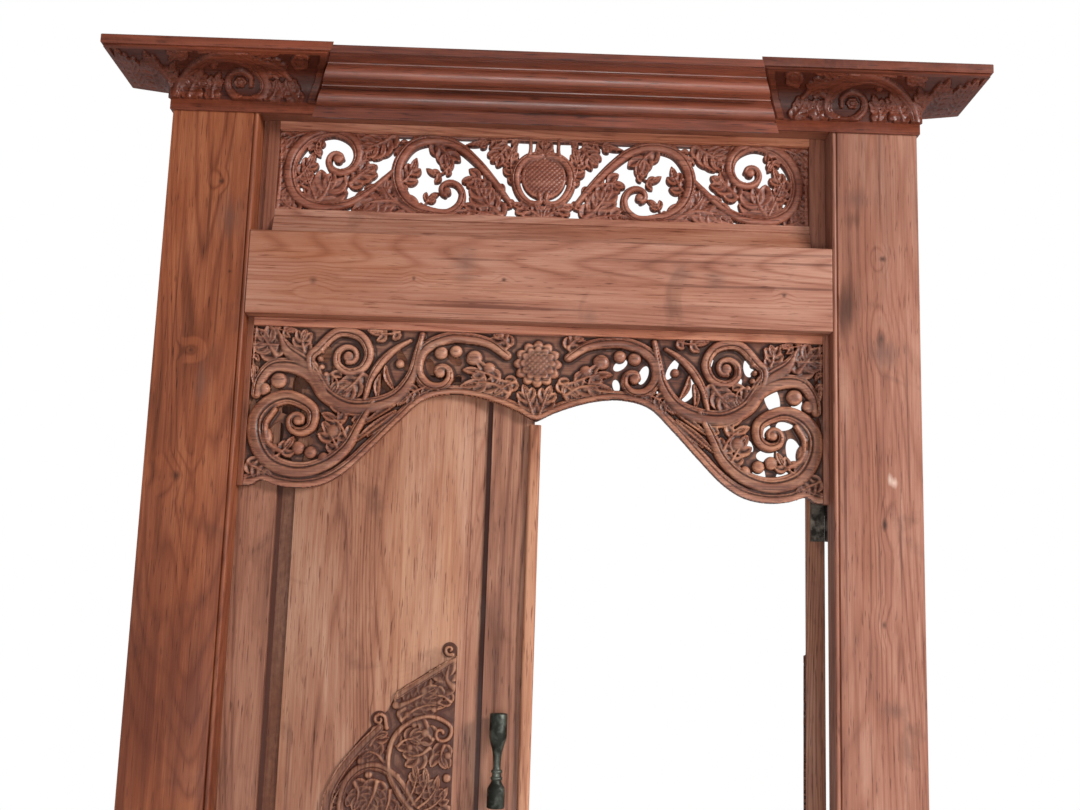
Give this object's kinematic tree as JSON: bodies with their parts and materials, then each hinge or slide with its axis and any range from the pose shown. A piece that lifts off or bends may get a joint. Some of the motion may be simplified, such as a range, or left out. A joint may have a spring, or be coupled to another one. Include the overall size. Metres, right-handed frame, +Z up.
{
  "type": "carved temple door",
  "caption": "Carved double-leaf door in a timber frame with a pierced transom light, a scalloped spandrel and a moulded cornice; one leaf stands open.",
  "frame": {"origin": "on the floor in the middle of the doorway, in the plane of the posts' front faces", "axes": "+Y into the building, +X to the right as seen from the street, +Z up"},
  "size_m": [1.876, 0.8669, 2.571],
  "materials": {
    "frame_teak": "satin, worn varnish",
    "orange_teak": "satin, worn varnish",
    "leaf_teak": "satin, worn varnish",
    "panel_teak": "satin, worn varnish",
    "carved_teak": "satin, darkened in the recesses",
    "dark_teak": "satin, dark stain",
    "handle_iron": "dark, semi-gloss",
    "hinge_steel": "dull"
  },
  "bodies": {
    "frame": {"cornice_left_end": "dark_teak", "cornice_moulding": "dark_teak", "cornice_right_end": "dark_teak", "head_beam": "frame_teak", "left_hinge_1_frame_plate": "hinge_steel", "left_hinge_2_frame_plate": "hinge_steel", "left_hinge_3_frame_plate": "hinge_steel", "left_hinge_pins": "hinge_steel", "left_post": "orange_teak", "lintel": "frame_teak", "right_hinge_1_frame_plate": "hinge_steel", "right_hinge_2_frame_plate": "hinge_steel", "right_hinge_3_frame_plate": "hinge_steel", "right_hinge_pins": "hinge_steel", "right_post": "frame_teak", "spandrel_carving": "carved_teak", "spandrel_left_band": "frame_teak", "spandrel_right_band": "frame_teak", "spandrel_top_band": "frame_teak", "transom_bottom_rail": "frame_teak", "transom_carving": "carved_teak", "transom_left_stile": "frame_teak", "transom_right_stile": "frame_teak", "transom_top_rail": "frame_teak"},
    "left_leaf": {"left_bottom_rail": "leaf_teak", "left_cover_bead": "leaf_teak", "left_handle": "handle_iron", "left_handle_nuts": "handle_iron", "left_handle_studs": "handle_iron", "left_hanging_stile": "leaf_teak", "left_hinge_1_leaf_plate": "hinge_steel", "left_hinge_2_leaf_plate": "hinge_steel", "left_hinge_3_leaf_plate": "hinge_steel", "left_meeting_stile": "leaf_teak", "left_panel": "panel_teak", "left_top_rail": "leaf_teak"},
    "right_leaf": {"right_bottom_rail": "leaf_teak", "right_hanging_stile": "leaf_teak", "right_hinge_1_leaf_plate": "hinge_steel", "right_hinge_2_leaf_plate": "hinge_steel", "right_hinge_3_leaf_plate": "hinge_steel", "right_meeting_stile": "leaf_teak", "right_panel": "panel_teak", "right_top_rail": "leaf_teak"}
  },
  "joints": [
    {"name": "left_leaf_swing", "type": "hinge", "parent": "frame", "child": "left_leaf", "pos_m": [-0.6355, 0.11, 0], "axis": [0, 0, 1], "range_deg": [0, 110]},
    {"name": "right_leaf_swing", "type": "hinge", "parent": "frame", "child": "right_leaf", "pos_m": [0.6355, 0.11, 0], "axis": [0, 0, 1], "range_deg": [-8, 102]}
  ]
}
